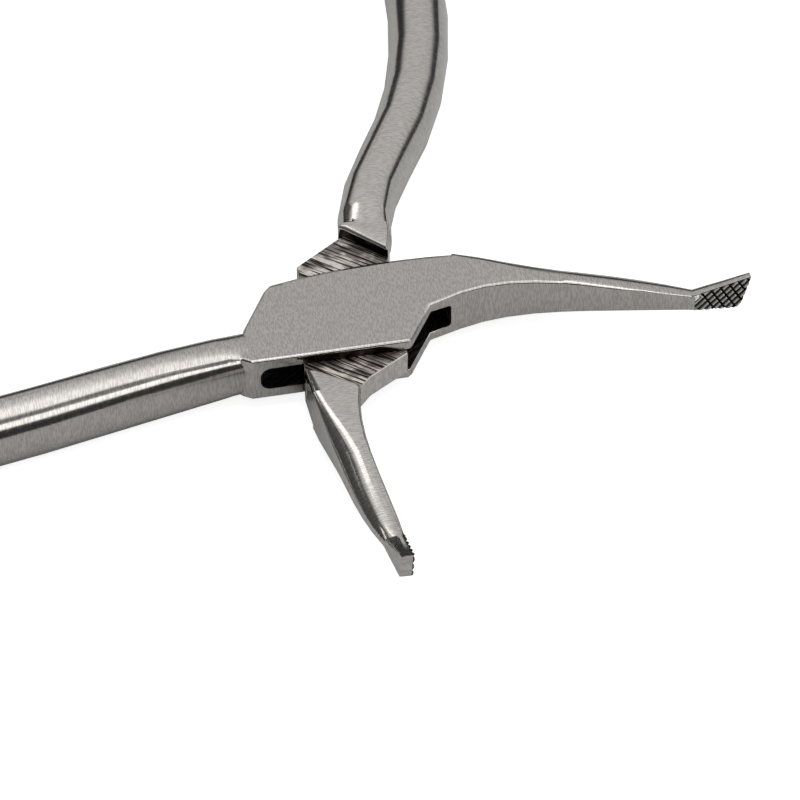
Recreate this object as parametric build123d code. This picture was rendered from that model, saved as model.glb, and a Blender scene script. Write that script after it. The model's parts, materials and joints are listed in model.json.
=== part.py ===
"""Box-joint utility pliers for orthodontic wire, drawn open at the angle they were seen.

Each half is drawn closed: the pivot is the origin, the jaw points along +X and its gripping
face lies on the XZ plane. The tongue half is then mirrored and swung open about the pivot.
"""
import os
from math import cos, pi, radians, sin, sqrt, tan

from build123d import *

# Box joint, millimetres
box_thickness = 4.9
slot_height = 2.5
cheek_clearance = 0.03
pin_radius = 1.9
pin_clearance = 0.03
opening_angle = 87.4
edge_slope_width = 0.9
edge_slope_drop = 0.3
slot_heel_round = 1.0
slot_mouth_round = 0.35

# Jaws, shared by both halves
jaw_root_x = 12.5
neck_x = 36.8
neck_width = 2.15
neck_top = 0.65
neck_bottom = 1.1
taper_power = 1.5
jaw_spans = 9
full_round_share = 0.5
round_width_share = 0.75
round_height_share = 0.45
closed_gap = 0.1

# Serrated tips
pad_length = 5.9
pad_top = 2.5
pad_bottom = 1.1
pad_end_width = 1.35
pad_end_round = 0.35
pad_lean = 17.0
toe_cut_length = 0.4
toe_cut_rise = 0.7
fine_pitch = 0.52
fine_angle = 46.0
fine_start = -0.4
coarse_pitch = 0.95
coarse_angle = 124.0
coarse_start = 2.1
groove_depth = 0.2
groove_half_width = 0.17
groove_overrun = 0.5

# Handles, oval bars
handle_end_x = -97.0
handle_half_span = 19.6
handle_end_turn = 2.5
box_bar_root_width = 5.6
tongue_bar_root_width = 5.6
bar_width = 6.4
bar_swell = 0.5
bar_height = 7.1
bar_end_width = 5.6
bar_end_height = 6.4
bar_end_round = 2.6
bar_spans = 11
root_crowding = 1.3
dome_spans = 4
root_share = 0.32
end_share = 0.75
root_squareness = 0.8

# Worked out from the sizes above
oval_pull = 4 / 3 * (sqrt(2) - 1)
half_box = box_thickness / 2
web_thickness = slot_height - 2 * cheek_clearance
pad_face_y = closed_gap / 2
neck_outer = (neck_x, pad_face_y + neck_width)
neck_inner = (neck_x, pad_face_y)
handle_end = (handle_end_x, handle_end_turn - handle_half_span)


def lerp(start, end, share):
    """Value between start and end at the given share of the way."""
    return start + (end - start) * share


def smooth_share(share, low, high):
    """Share of the way from low to high, eased at both ends."""
    t = min(max((share - low) / (high - low), 0.0), 1.0)
    return t * t * (3 - 2 * t)


def prism(outline, height):
    """Closed outline, drawn in plan, raised evenly about the mid-plane."""
    face = make_face(outline)
    return extrude(face, amount=height / 2, both=True)


def slope_edges(block, kind):
    """Slope the upper and lower edges of one kind, wide on the flat faces and low on the side."""
    for end in (0, -1):
        face = block.faces().sort_by(Axis.Z)[end]
        edges = face.edges().filter_by(kind)
        block = chamfer(edges, edge_slope_width, edge_slope_drop, reference=face)
    return block


def spans_loft(sections):
    """Straight spans between the sections, taken the other way where that turns it right side out."""
    shape = loft(sections, ruled=True)
    if shape.volume < 0:
        shape = loft(sections[::-1], ruled=True)
    return shape


def jaw_section(plane, width, low, high, round_x, round_z):
    """Flat inner face at local x = 0, rounded corners on the outer side."""
    centre_x = width - round_x
    edges = [
        Line((centre_x, low), (0, low)),
        Line((0, low), (0, high)),
        Line((0, high), (centre_x, high)),
        EllipticalCenterArc((centre_x, high - round_z), round_x, round_z, start_angle=0, arc_size=90),
        Line((width, high - round_z), (width, low + round_z)),
        EllipticalCenterArc((centre_x, low + round_z), round_x, round_z, start_angle=270, arc_size=90),
    ]
    return plane * make_face(Wire(edges))


def bar_section(plane, width, height, squareness):
    """Closed section of four equal curves, an oval at oval_pull and almost a rectangle near 1."""
    half_w = width / 2
    half_h = height / 2
    quadrants = []
    for side, rise in ((1, 1), (-1, 1), (-1, -1), (1, -1)):
        points = [
            (side * half_w, 0),
            (side * half_w, rise * half_h * squareness),
            (side * half_w * squareness, rise * half_h),
            (0, rise * half_h),
        ]
        quadrants.append(Bezier(*(points if side == rise else points[::-1])))
    return plane * make_face(Wire(quadrants))


def jaw(inner_points, outer_points):
    """Jaw between two plan curves, bowed away from the other jaw and tapering to the neck."""
    inner_edge = Spline(*[Vector(*p) for p in inner_points])
    outer_edge = Spline(*[Vector(*p) for p in outer_points])
    sections = []
    for i in range(jaw_spans + 1):
        share = i / jaw_spans
        inner = inner_edge @ share
        across = (outer_edge @ share) - inner
        low = lerp(-half_box, -neck_bottom, share ** taper_power)
        high = lerp(half_box, neck_top, share ** taper_power)
        rounding = smooth_share(share, 0, full_round_share)
        round_x = lerp(edge_slope_width, round_width_share * across.length, rounding)
        round_z = lerp(edge_slope_drop, round_height_share * (high - low), rounding)
        plane = Plane(origin=inner, x_dir=across, z_dir=across.cross(Vector(0, 0, 1)))
        sections.append(jaw_section(plane, across.length, low, high, round_x, round_z))
    return spans_loft(sections)


def tip():
    """Flared gripping tip, from the neck to an end that leans back, with its toe cut and grooved."""
    across = Vector(0, 1, 0)
    neck_plane = Plane(origin=(neck_x, pad_face_y, 0), x_dir=across, z_dir=(1, 0, 0))
    neck = jaw_section(neck_plane, neck_width, -neck_bottom, neck_top, round_width_share * neck_width,
                       round_height_share * (neck_top + neck_bottom))
    lean = radians(pad_lean)
    end_plane = Plane(origin=(neck_x + pad_length - pad_top * tan(lean), pad_face_y, 0), x_dir=across,
                      z_dir=(cos(lean), 0, -sin(lean)))
    end = jaw_section(end_plane, pad_end_width, -pad_bottom / cos(lean), pad_top / cos(lean),
                      pad_end_width / 2, pad_end_round)
    return spans_loft([neck, end]) - toe_cut() - grooves()


def toe_cut():
    """Wedge that takes the lower corner off the tip's end."""
    lean = tan(radians(pad_lean))
    corner_x = neck_x + pad_length - (pad_top + pad_bottom) * lean
    start = (corner_x - toe_cut_length, -pad_bottom)
    finish = (corner_x + toe_cut_rise * lean, toe_cut_rise - pad_bottom)
    beyond_x = neck_x + 2 * pad_length
    below_z = -2 * pad_bottom
    wedge = Polyline(start, finish, (beyond_x, finish[1]), (beyond_x, below_z), (start[0], below_z), close=True)
    return extrude(Plane.XZ * make_face(wedge), amount=2 * neck_width, both=True)


def grooves():
    """Two crossing sets of V grooves over the gripping face, each counted along its lower edge."""
    reach = pad_length + pad_top + pad_bottom
    cutters = []
    for angle, pitch, start in ((fine_angle, fine_pitch, fine_start),
                                (coarse_angle, coarse_pitch, coarse_start)):
        along = Vector(cos(radians(angle)), 0, sin(radians(angle)))
        spacing = pitch / along.Z
        for i in range(int(reach / spacing)):
            foot = Vector(neck_x + start + i * spacing, pad_face_y, -pad_bottom)
            plane = Plane(origin=foot - along * groove_overrun, x_dir=(-along.Z, 0, along.X), z_dir=along)
            depth = groove_depth if plane.y_dir.Y > 0 else -groove_depth
            vee = Polyline((-groove_half_width, 0), (groove_half_width, 0), (0, depth), close=True)
            cutters.append(extrude(plane * make_face(vee), amount=reach))
    return cutters


def square_to(path, share, beyond=0.0):
    """Plane square to the path at a share of its length, moved on along its heading."""
    heading = path % share
    origin = (path @ share) + heading * beyond
    return Plane(origin=origin, x_dir=Vector(-heading.Y, heading.X, 0), z_dir=heading)


def handle(centre_points, root_width):
    """Oval bar along a curve, flat-sided where it leaves the box, swelling in the palm, domed."""
    path = Spline(*[Vector(*p) for p in centre_points])
    sections = []
    for i in range(bar_spans + 1):
        share = (i / bar_spans) ** root_crowding
        root = 1 - min(share / root_share, 1)
        palm = sin(pi * max(share - root_share, 0) / (1 - root_share))
        ending = smooth_share(share, end_share, 1)
        width = lerp(lerp(bar_width, root_width, root) + bar_swell * palm, bar_end_width, ending)
        height = lerp(lerp(bar_height, box_thickness, root ** 4), bar_end_height, ending)
        squareness = lerp(oval_pull, root_squareness, root ** 4)
        sections.append(bar_section(square_to(path, share), width, height, squareness))
    for i in range(1, dome_spans):
        angle = pi / 2 * i / dome_spans
        plane = square_to(path, 1, sin(angle) * bar_end_round)
        width = cos(angle) * bar_end_width
        height = cos(angle) * bar_end_height
        sections.append(bar_section(plane, width, height, oval_pull))
    return spans_loft(sections)


def pivot_hole(radius):
    """Cylinder on the pivot axis, longer than the box is thick."""
    return Cylinder(radius, 2 * box_thickness)


def box_half():
    """Half that carries the box: two cheeks around a slot, one jaw and one handle."""
    heel_notch = (-10.5, -2.2)
    heel_top = (-7.25, 5.6)
    jaw_outer = (jaw_root_x, 9.0)
    jaw_inner = (jaw_root_x, 1.45)
    mouth_corner = (9.1, -0.2)
    toe_corner = (6.2, -6.5)
    heel_low = (-10.3, -8.3)
    bar_low = (-11.5, -7.5)
    outline = [
        Line(heel_notch, heel_top),
        TangentArc(jaw_outer, heel_top, tangent=(-1, 0)),
        Polyline(jaw_outer, jaw_inner, mouth_corner, toe_corner, heel_low, bar_low, heel_notch),
    ]
    block = slope_edges(prism(outline, box_thickness), GeomType.CIRCLE)

    inner_points = (jaw_inner, (17.5, 2.8), (26.5, 2.1), neck_inner)
    outer_points = (jaw_outer, (17.5, 7.75), (26.5, 5.7), neck_outer)
    centre_points = ((-9.6, -4.6), (-24, -9.3), (-36.2, -13.7), (-55, -18.4),
                     (-75, -handle_half_span), handle_end)
    body = block + jaw(inner_points, outer_points) + tip() + handle(centre_points, box_bar_root_width)
    return body - box_slot() - pivot_hole(pin_radius)


def box_slot():
    """Room between the cheeks for the tongue at every opening angle, its ends rounded."""
    heel_x = -12.3
    mouth_x = 11.4
    outline = Polyline((-8.0, -10.5), (heel_x, -3.4), (heel_x, 7.5), (8.6, 11.0), (mouth_x, 3.4),
                       (mouth_x, -3.0), (8.0, -10.5), close=True)
    slot = prism(outline, slot_height)
    heel_end = (heel_x, 0.8 * heel_x, slot_heel_round)
    mouth_end = (0.8 * mouth_x, mouth_x, slot_mouth_round)
    for lowest, highest, radius in (heel_end, mouth_end):
        level_edges = slot.edges().filter_by(lambda edge: abs(edge.center().Z) > slot_height / 4)
        slot = fillet(level_edges.filter_by_position(Axis.X, lowest, highest), radius)
    return slot


def tongue_half():
    """Half that carries the tongue: a thin web between two shoulders, one jaw and one handle."""
    jaw_outer = (jaw_root_x + 1.5, 5.4)
    jaw_inner = (jaw_root_x + 1.5, 0.5)
    step_outer = (9.4, 5.5)
    step_inner = (13.3, 0.55)
    root = prism(Polyline(step_outer, step_inner, jaw_inner, jaw_outer, close=True), box_thickness)
    level_edges = root.edges().filter_by(lambda edge: abs(edge.center().Z) > half_box / 2)
    root = chamfer(level_edges.sort_by(Axis.Y)[-2:], edge_slope_drop, edge_slope_width)

    web = prism(Polyline((-10.3, 3.2), (10.4, 5.6), (13.6, 1.0), (10.9, -1.0), (7.3, -5.5),
                         (-10.5, -6.5), (-15.4, -2.6), (-14.7, -1.8), close=True), web_thickness)
    shank = prism(Polyline((-15.0, -2.6), (-10.3, -6.5), (-13.5, -7.25), (-15.7, -7.5), (-16.2, -2.3),
                           (-15.4, -2.0), close=True), box_thickness)

    inner_points = (jaw_inner, (20.0, 1.25), (28.0, 0.85), neck_inner)
    outer_points = (jaw_outer, (19.0, 5.0), (26.0, 4.3), (32.0, 3.45), neck_outer)
    centre_points = ((-15.2, -4.95), (-20.5, -5.8), (-36.2, -12.4), (-55, -17.8),
                     (-75, -handle_half_span), handle_end)
    body = web + root + shank + jaw(inner_points, outer_points) + tip()
    body = body + handle(centre_points, tongue_bar_root_width)
    body = body - pivot_hole(pin_radius + pin_clearance)
    closed = mirror(body, about=Plane.XZ)
    return Rot(0, 0, -opening_angle) * closed


def pivot_pin():
    """Pin pressed through both cheeks and ground flush with them."""
    return Cylinder(pin_radius, box_thickness)


os.makedirs("parts", exist_ok=True)
lift = Pos(0, 0, half_box)
nodes = {"box_half": box_half(), "tongue_half": tongue_half(), "pivot_pin": pivot_pin()}
for name, shape in nodes.items():
    export_step(lift * shape, f"parts/{name}.step")
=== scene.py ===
"""Looks for the orthodontic pliers: satin steel, rough milled slot and web, white studio."""
import json
from math import cos, pi, radians, sin

import bpy
from mathutils import Matrix, Vector


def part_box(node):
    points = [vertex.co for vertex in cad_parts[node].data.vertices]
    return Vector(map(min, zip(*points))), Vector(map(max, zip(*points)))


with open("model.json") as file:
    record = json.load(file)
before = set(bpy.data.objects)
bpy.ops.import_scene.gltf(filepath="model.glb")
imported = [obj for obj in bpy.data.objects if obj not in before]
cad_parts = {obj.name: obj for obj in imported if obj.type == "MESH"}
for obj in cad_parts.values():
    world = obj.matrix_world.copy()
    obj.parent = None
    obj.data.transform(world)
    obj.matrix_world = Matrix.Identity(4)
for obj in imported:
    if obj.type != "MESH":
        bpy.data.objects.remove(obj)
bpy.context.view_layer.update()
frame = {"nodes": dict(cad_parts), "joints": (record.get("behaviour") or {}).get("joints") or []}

MM = 0.001

# Read from the frame
PIVOT = Vector(frame["joints"][0]["pos_m"])
OPENING = radians(frame["joints"][0]["range_deg"][1])
FLOOR_Z = min(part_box("box_half")[0].z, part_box("tongue_half")[0].z)

# Places on the pliers, measured from the pivot
HALF_SLOT = 1.25 * MM
HALF_BOX = 2.445 * MM
JOINT_RADIUS = 15.5 * MM
BORE_REACH = 2.2 * MM
SERRATION_START = 36.4 * MM
TIP_START = 36.7 * MM
MILLING_ANGLE = radians(45)

# Low arch of painted dark reflection on the cheeks' edges above and below the web
ARCH_START = -5.2 * MM
ARCH_MIDDLE = -0.8 * MM
ARCH_HALF_WIDTH = 6.5 * MM
ARCH_HEIGHT = 1.4 * MM
CHEEK_EDGE = -6.0 * MM

# Worn edges
SAME_PLACE = 0.002 * MM
SHARP_TURN = radians(35)
FLAT_BORDER = radians(12)
FLAT_ENOUGH = radians(1)
BEVEL_WIDTH = 0.36 * MM
SHORTEST_WORN = 0.25 * MM
JOINT_WEAR = 0.35

# Colours and finish of the steel, with the painted shade of the serration grooves and the joint's walls
POLISHED_DULL = (0.51, 0.485, 0.46)
POLISHED_BRIGHT = (0.65, 0.625, 0.595)
GROOVE_SHADE = (0.02, 0.018, 0.016, 1)
MILLED_DARK = (0.02, 0.013, 0.01, 1)
MILLED_BRIGHT = (0.92, 0.86, 0.8, 1)
WALL_SHADE_DARK = (0.015, 0.01, 0.008, 1)
WALL_SHADE_BROWN = (0.12, 0.09, 0.075, 1)
FINEST_SATIN = 0.11
COARSEST_SATIN = 0.17
MILLED_ROUGHNESS = 0.4

# Grain of the steel, in cells per metre
BRUSHING_GRAIN = 7000
MILLING_GRAIN = 3600
GRIME_GRAIN = 420

# Camera, found from the photograph
IMAGE_PX = 800
SENSOR = 36.0
PX_PER_MM = 9.7
DISTANCE = 0.5
ELEVATION = radians(35.3)
TURN = radians(-7.4)
PIVOT_PX = (343, 328)

# Light: levels at angles from the camera's horizon (0) over the zenith (90) to the far one (180)
LIGHT_BANDS = ((32, 0.005), (36, 0.8), (51, 0.9), (55, 0.1), (67, 0.08), (76, 0.72), (96, 0.7), (118, 0.4),
               (140, 0.29), (160, 0.25), (168, 0.005))
SKY_STRENGTH = 2.0
LEFT_SHADE = 0.08
LAMP_DISTANCE = 0.7
MIRROR_SHARE = 0.03

# Floor
FLOOR_REACH = 4.0
FLOOR_GREY = 0.54
FLOOR_GLOW = 0.85


def node_adder(owner):
    """Empty the nodes of a material or world and return a function that adds one node."""
    owner.use_nodes = True
    tree = owner.node_tree
    tree.nodes.clear()

    def add(kind, inputs=None, **settings):
        node = tree.nodes.new(kind)
        for key, value in settings.items():
            setattr(node, key, value)
        for key, value in (inputs or {}).items():
            if isinstance(value, bpy.types.NodeSocket):
                tree.links.new(value, node.inputs[key])
            else:
                node.inputs[key].default_value = value
        return node

    return add


def maths(add, operation, first, second=0.0):
    """Result of one Math node."""
    return add("ShaderNodeMath", {0: first, 1: second}, operation=operation).outputs[0]


def ramp(add, value, low, high, to_low=0.0, to_high=1.0):
    """Value mapped smoothly from one range to another."""
    inputs = {"Value": value, "From Min": low, "From Max": high, "To Min": to_low, "To Max": to_high}
    return add("ShaderNodeMapRange", inputs, interpolation_type="SMOOTHSTEP").outputs["Result"]


def mixed(add, share, first, second):
    """Colour between two others."""
    return add("ShaderNodeMix", {0: share, 6: first, 7: second}, data_type="RGBA").outputs[2]


def noise(add, place, scale, stretch, detail):
    """Noise squeezed or stretched along each axis."""
    squeezed = add("ShaderNodeMapping", {"Vector": place, "Scale": stretch}).outputs["Vector"]
    texture = add("ShaderNodeTexNoise", {"Vector": squeezed, "Scale": scale, "Detail": detail})
    return texture.outputs["Fac"]


def facing(add):
    """Direction that the surface faces, in the part's own frame, so that it turns with the part."""
    normal = add("ShaderNodeNewGeometry").outputs["True Normal"]
    turned = add("ShaderNodeVectorTransform", {"Vector": normal}, vector_type="NORMAL",
                 convert_from="WORLD", convert_to="OBJECT")
    return turned.outputs["Vector"]


def joint_masks(add, place):
    """Two masks near the pivot: the milled web and slot, and the step walls between them, which get painted
    shade.
    """
    offset = add("ShaderNodeVectorMath", {0: place, 1: PIVOT}, operation="SUBTRACT").outputs["Vector"]
    normal = facing(add)
    distance = add("ShaderNodeVectorMath", {0: offset}, operation="LENGTH").outputs["Value"]
    near = ramp(add, distance, JOINT_RADIUS, JOINT_RADIUS + 0.1 * MM, 1.0, 0.0)
    height = maths(add, "ABSOLUTE", add("ShaderNodeSeparateXYZ", {"Vector": offset}).outputs["Z"])
    inside = ramp(add, height, HALF_SLOT + 0.02 * MM, HALF_SLOT + 0.04 * MM, 1.0, 0.0)
    level = maths(add, "ABSOLUTE", add("ShaderNodeSeparateXYZ", {"Vector": normal}).outputs["Z"])
    flat = maths(add, "MULTIPLY", inside, ramp(add, level, 0.9, 0.97))
    outward = add("ShaderNodeVectorMath", {0: offset, 1: normal}, operation="DOT_PRODUCT").outputs["Value"]
    inward = ramp(add, outward, -2 * MM, -1.8 * MM, 1.0, 0.0)
    upright = maths(add, "MAXIMUM", inside, ramp(add, level, 0.1, 0.2, 1.0, 0.0))
    # Walls of the joint's recesses, which get painted shade
    shaded_wall = maths(add, "MULTIPLY", inward, upright)
    return maths(add, "MULTIPLY", near, flat), maths(add, "MULTIPLY", near, shaded_wall)


def groove_mask(add, along):
    """One in the grooves of the serrated tip, where painted shade goes, zero on its ridges and elsewhere.
    """
    own = add("ShaderNodeSeparateXYZ", {"Vector": along})
    depth = maths(add, "ABSOLUTE", own.outputs["Y"])
    cut = ramp(add, depth, 0.09 * MM, 0.18 * MM)
    shallow = ramp(add, depth, 0.26 * MM, 0.28 * MM, 1.0, 0.0)
    beyond = ramp(add, own.outputs["X"], SERRATION_START, SERRATION_START + 0.2 * MM)
    return maths(add, "MULTIPLY", maths(add, "MULTIPLY", cut, shallow), beyond)


def cheek_painted_reflection(add, place):
    """One under a low arch on the cheeks' edges above and below the web, where a dark reflection is
    painted, zero elsewhere.
    """
    offset = add("ShaderNodeVectorMath", {0: place, 1: PIVOT}, operation="SUBTRACT").outputs["Vector"]
    parts = add("ShaderNodeSeparateXYZ", {"Vector": offset})
    normal = add("ShaderNodeSeparateXYZ", {"Vector": facing(add)})
    across = maths(add, "DIVIDE", maths(add, "SUBTRACT", parts.outputs["X"], ARCH_MIDDLE), ARCH_HALF_WIDTH)
    arch = maths(add, "MULTIPLY", maths(add, "SUBTRACT", 1.0, maths(add, "MULTIPLY", across, across)),
                 ARCH_HEIGHT)
    rise = maths(add, "SUBTRACT", maths(add, "ABSOLUTE", parts.outputs["Z"]), HALF_SLOT)
    below = ramp(add, maths(add, "SUBTRACT", arch, rise), -0.1 * MM, 0.15 * MM)
    front = ramp(add, normal.outputs["Y"], -0.9, -0.8, 1.0, 0.0)
    after_start = ramp(add, parts.outputs["X"], ARCH_START, ARCH_START + 0.3 * MM)
    outside = ramp(add, parts.outputs["Y"], CHEEK_EDGE, CHEEK_EDGE + 0.5 * MM, 1.0, 0.0)
    return maths(add, "MULTIPLY", maths(add, "MULTIPLY", below, front),
                 maths(add, "MULTIPLY", after_start, outside))


def steel(name, axis_angle, milling_angle, milled_shine_after_shade, brightness, paints_cheek_reflection):
    """Satin steel brushed across the half's length, milled on the faces of the joint and dark there with
    painted shade.

    axis_angle is the direction of the half's length and milling_angle that of the cutter's marks,
    the milled shine says how much bare metal shows between the marks, and a low one paints shade on the
    milled faces, brightness scales the polished colour, and the last flag adds the painted dark reflection
    in arches on the cheeks' edges.
    """
    material = bpy.data.materials.new(name)
    add = node_adder(material)
    place = add("ShaderNodeTexCoord").outputs["Object"]
    along = add("ShaderNodeMapping", {"Vector": place, "Rotation": (0, 0, -axis_angle)}).outputs["Vector"]
    with_cut = add("ShaderNodeMapping", {"Vector": place, "Rotation": (0, 0, -milling_angle)})
    brushing = noise(add, along, BRUSHING_GRAIN, (1, 0.1, 0.1), 2)
    speckle = noise(add, along, BRUSHING_GRAIN, (1, 0.2, 0.2), 2)
    milling = noise(add, with_cut.outputs["Vector"], MILLING_GRAIN, (0.05, 1, 1), 4)
    grime = noise(add, place, GRIME_GRAIN, (1, 1, 1), 4)
    milled, shaded_wall = joint_masks(add, place)

    dull = tuple(level * brightness for level in POLISHED_DULL) + (1,)
    bright = tuple(level * brightness for level in POLISHED_BRIGHT) + (1,)
    polished = mixed(add, ramp(add, speckle, 0.4, 0.6), dull, bright)
    # Painted shade: the serration grooves are coloured near-black
    groove_shaded = mixed(add, groove_mask(add, along), polished, GROOVE_SHADE)
    scored = maths(add, "MULTIPLY", ramp(add, milling, 0.42, 0.54), ramp(add, grime, 0.4, 0.6, 0.3, 1.0))
    # Painted shade: a low milled shine darkens the milled faces, on the box half those inside the slot
    # under the cheeks
    shine = maths(add, "MULTIPLY", scored, milled_shine_after_shade)
    rough = mixed(add, shine, MILLED_DARK, MILLED_BRIGHT)
    # Painted shade on the joint's walls, varied by the grime noise between near-black and brown
    wall_shade = mixed(add, ramp(add, grime, 0.5, 0.7), WALL_SHADE_DARK, WALL_SHADE_BROWN)
    if paints_cheek_reflection:
        # Painted dark reflection in a low arch on the cheeks' front faces
        shaded_wall = maths(add, "MAXIMUM", shaded_wall, cheek_painted_reflection(add, place))
    colour = mixed(add, shaded_wall, mixed(add, milled, groove_shaded, rough), wall_shade)
    satin = ramp(add, brushing, 0.3, 0.7, FINEST_SATIN, COARSEST_SATIN)
    worked = maths(add, "MAXIMUM", milled, shaded_wall)
    roughness = maths(add, "MAXIMUM", satin, maths(add, "MULTIPLY", worked, MILLED_ROUGHNESS))

    fine = add("ShaderNodeBump", {"Height": brushing, "Strength": 0.2, "Distance": 0.01 * MM})
    cuts = add("ShaderNodeBump", {"Height": maths(add, "MULTIPLY", milling, milled), "Strength": 0.8,
                                  "Distance": 0.1 * MM, "Normal": fine.outputs["Normal"]})
    shader = add("ShaderNodeBsdfPrincipled", {"Base Color": colour, "Metallic": 1.0,
                                              "Roughness": roughness, "Normal": cuts.outputs["Normal"]})
    add("ShaderNodeOutputMaterial", {"Surface": shader.outputs["BSDF"]})
    return material


def wear(middle):
    """How broadly an edge is worn, by where its middle is: not at all on the bore and the tips."""
    offset = middle - PIVOT
    if offset.xy.length < BORE_REACH or offset.length > TIP_START:
        return 0.0
    on_flat = abs(offset.z) > HALF_SLOT + 0.3 * MM
    return 1.0 if on_flat else JOINT_WEAR


def mark_sharp_edges(mesh):
    """Bevel weights on sharp outer edges; hollow, short and flat-bordering ones are only kept crisp."""
    places = [tuple(round(value / SAME_PLACE) for value in vertex.co) for vertex in mesh.vertices]
    faces = {}
    for face in mesh.polygons:
        for first, second in face.edge_keys:
            faces.setdefault(frozenset((places[first], places[second])), []).append(face)
    weights = mesh.attributes.new("bevel_weight_edge", "FLOAT", "EDGE")
    for edge in mesh.edges:
        first, second = edge.vertices
        around = faces[frozenset((places[first], places[second]))]
        turn = max(around[0].normal.angle(other.normal, 0.0) for other in around)
        ends = [mesh.vertices[index].co for index in edge.vertices]
        if turn > SHARP_TURN:
            hollow = around[0].normal.dot(around[-1].center - around[0].center) > 0
            short = (ends[1] - ends[0]).length < SHORTEST_WORN
            weight = 0.0 if hollow or short else wear((ends[0] + ends[1]) / 2)
            weights.data[edge.index].value = weight
            edge.use_edge_sharp = weight == 0
        elif turn > FLAT_BORDER and all(abs(end.z - PIVOT.z) > HALF_BOX for end in ends):
            edge.use_edge_sharp = True


def dress(node, material):
    """Give a CAD node its material, fine bevels along its sharp edges and even shading."""
    piece = frame["nodes"][node]
    piece.data.materials.clear()
    piece.data.materials.append(material)
    piece.data.shade_smooth()
    mark_sharp_edges(piece.data)
    weld = piece.modifiers.new("join_faces", "WELD")
    weld.merge_threshold = SAME_PLACE
    plain = piece.modifiers.new("plain_faces", "DECIMATE")
    plain.decimate_type = "DISSOLVE"
    plain.angle_limit = FLAT_ENOUGH
    plain.delimit = {"SHARP"}
    bevel = piece.modifiers.new("worn_edges", "BEVEL")
    bevel.limit_method = "WEIGHT"
    bevel.width = BEVEL_WIDTH
    bevel.segments = 1
    bevel.mark_sharp = True
    bevel.use_clamp_overlap = False
    normals = piece.modifiers.new("even_shading", "WEIGHTED_NORMAL")
    normals.weight = 90
    normals.keep_sharp = True


def place_camera():
    """Camera at the photograph's angle, distance and framing."""
    right = Vector((cos(TURN), sin(TURN), 0))
    ahead = Vector((-sin(TURN), cos(TURN), 0))
    forward = ahead * cos(ELEVATION) - Vector((0, 0, sin(ELEVATION)))
    up = ahead * sin(ELEVATION) + Vector((0, 0, cos(ELEVATION)))
    offset_right = (PIVOT_PX[0] - IMAGE_PX / 2) / PX_PER_MM * MM
    offset_up = (IMAGE_PX / 2 - PIVOT_PX[1]) / PX_PER_MM * MM
    data = bpy.data.cameras.new("photo_camera")
    data.sensor_width = SENSOR
    data.lens = PX_PER_MM * DISTANCE / MM * SENSOR / IMAGE_PX
    data.clip_start = 0.01
    data.clip_end = 20
    camera = bpy.data.objects.new("photo_camera", data)
    bpy.context.scene.collection.objects.link(camera)
    place = PIVOT - right * offset_right - up * offset_up - forward * DISTANCE
    turned = Matrix((right, up, -forward)).transposed().to_4x4()
    camera.matrix_world = Matrix.Translation(place) @ turned
    bpy.context.scene.camera = camera


def seen_white(add):
    """One for rays that show the white backdrop itself, and a little of it in the metal."""
    path = add("ShaderNodeLightPath")
    shown = maths(add, "MAXIMUM", path.outputs["Is Camera Ray"], path.outputs["Is Transmission Ray"])
    mirrored = maths(add, "MULTIPLY", path.outputs["Is Glossy Ray"], MIRROR_SHARE)
    return maths(add, "MAXIMUM", shown, mirrored)


def studio():
    """Bands of light from the camera's horizon over the zenith to the far horizon, white where seen."""
    world = bpy.data.worlds.new("studio")
    bpy.context.scene.world = world
    add = node_adder(world)
    direction = add("ShaderNodeTexCoord").outputs["Generated"]
    turned = add("ShaderNodeMapping", {"Vector": direction, "Rotation": (0, 0, -TURN)}).outputs["Vector"]
    parts = add("ShaderNodeSeparateXYZ", {"Vector": turned})
    toward_camera = maths(add, "MULTIPLY", parts.outputs["Y"], -1.0)
    angle = maths(add, "ARCTAN2", parts.outputs["Z"], toward_camera)
    left_shade = ramp(add, parts.outputs["X"], -0.5, -0.36, LEFT_SHADE, 1.0)
    bands = add("ShaderNodeValToRGB", {"Fac": maths(add, "DIVIDE", angle, pi)})
    stops = bands.color_ramp.elements
    for stop, (degrees, level) in zip((stops[0], stops[1]), (LIGHT_BANDS[0], LIGHT_BANDS[-1])):
        stop.position = degrees / 180
        stop.color = (level, level, level, 1)
    for degrees, level in LIGHT_BANDS[1:-1]:
        stops.new(degrees / 180).color = (level, level, level, 1)
    strength = maths(add, "MULTIPLY", left_shade, SKY_STRENGTH)
    soft = add("ShaderNodeBackground", {"Color": bands.outputs["Color"], "Strength": strength})
    white = add("ShaderNodeBackground", {"Color": (1, 1, 1, 1), "Strength": 1.0})
    shown = add("ShaderNodeMixShader", {0: seen_white(add), 1: soft.outputs[0], 2: white.outputs[0]})
    add("ShaderNodeOutputWorld", {"Surface": shown.outputs[0]})


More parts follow.
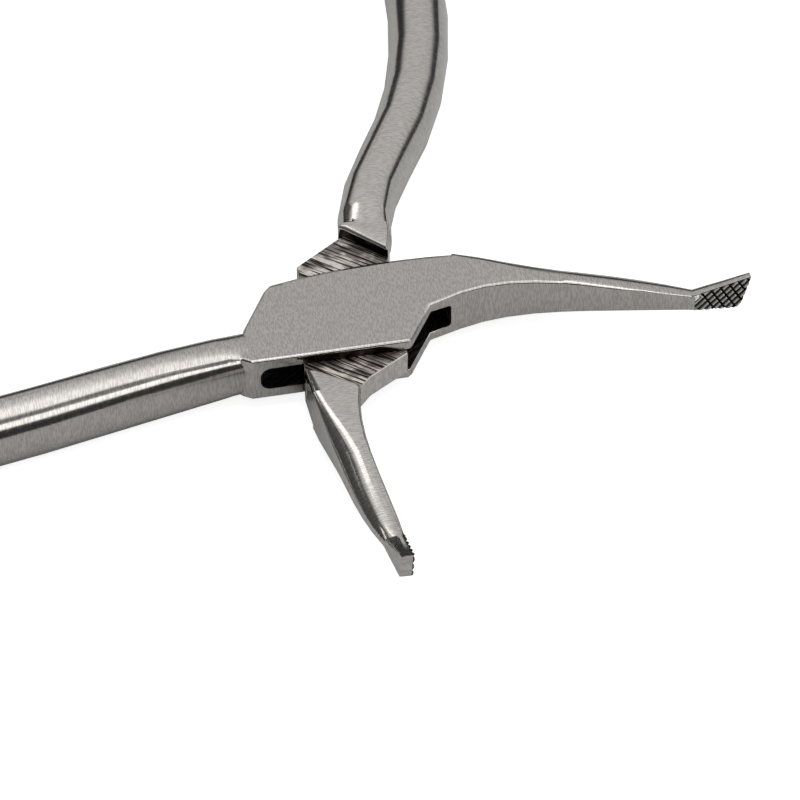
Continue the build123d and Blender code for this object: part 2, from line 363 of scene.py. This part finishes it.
def softbox(name, azimuth, elevation, width, height, power):
    """Lamp that faces the box joint from one side, azimuth from +X and elevation from the floor."""
    data = bpy.data.lights.new(name, "AREA")
    data.shape = "RECTANGLE"
    data.size = width
    data.size_y = height
    data.energy = power
    lamp = bpy.data.objects.new(name, data)
    bpy.context.scene.collection.objects.link(lamp)
    away = Vector((cos(azimuth) * cos(elevation), sin(azimuth) * cos(elevation), sin(elevation)))
    lamp.location = PIVOT + away * LAMP_DISTANCE
    lamp.rotation_euler = away.to_track_quat("Z", "Y").to_euler()


def floor():
    """Pale floor, white to the camera apart from the shadow under the pliers."""
    corners = [(x * FLOOR_REACH, y * FLOOR_REACH, FLOOR_Z) for x, y in ((-1, -1), (1, -1), (1, 1), (-1, 1))]
    mesh = bpy.data.meshes.new("floor")
    mesh.from_pydata(corners, [], [(0, 1, 2, 3)])
    piece = bpy.data.objects.new("floor", mesh)
    bpy.context.scene.collection.objects.link(piece)
    material = bpy.data.materials.new("white_floor")
    add = node_adder(material)
    matte = add("ShaderNodeBsdfDiffuse", {"Color": (FLOOR_GREY, FLOOR_GREY, FLOOR_GREY, 1)})
    strength = maths(add, "MULTIPLY", seen_white(add), FLOOR_GLOW)
    glow = add("ShaderNodeEmission", {"Color": (1, 1, 1, 1), "Strength": strength})
    surface = add("ShaderNodeAddShader", {0: matte.outputs[0], 1: glow.outputs[0]})
    add("ShaderNodeOutputMaterial", {"Surface": surface.outputs[0]})
    mesh.materials.append(material)


bpy.context.scene.view_settings.view_transform = "Standard"
place_camera()
studio()
softbox("top_lamp", radians(-97), radians(78), width=0.3, height=0.3, power=0.4)
softbox("broad_streak", radians(103), radians(45), width=0.14, height=0.17, power=0.08)
softbox("thin_streak", radians(128), radians(26), width=0.06, height=0.3, power=0.08)
floor()
# The box half's low milled shine paints shade on its milled faces inside the slot
box_steel = steel("steel_box_half", 0, MILLING_ANGLE, milled_shine_after_shade=0.1, brightness=1.0, paints_cheek_reflection=True)
tongue_steel = steel("steel_tongue_half", -OPENING, MILLING_ANGLE - OPENING, milled_shine_after_shade=1.0,
                     brightness=1.15, paints_cheek_reflection=False)
dress("box_half", box_steel)
dress("pivot_pin", box_steel)
dress("tongue_half", tongue_steel)
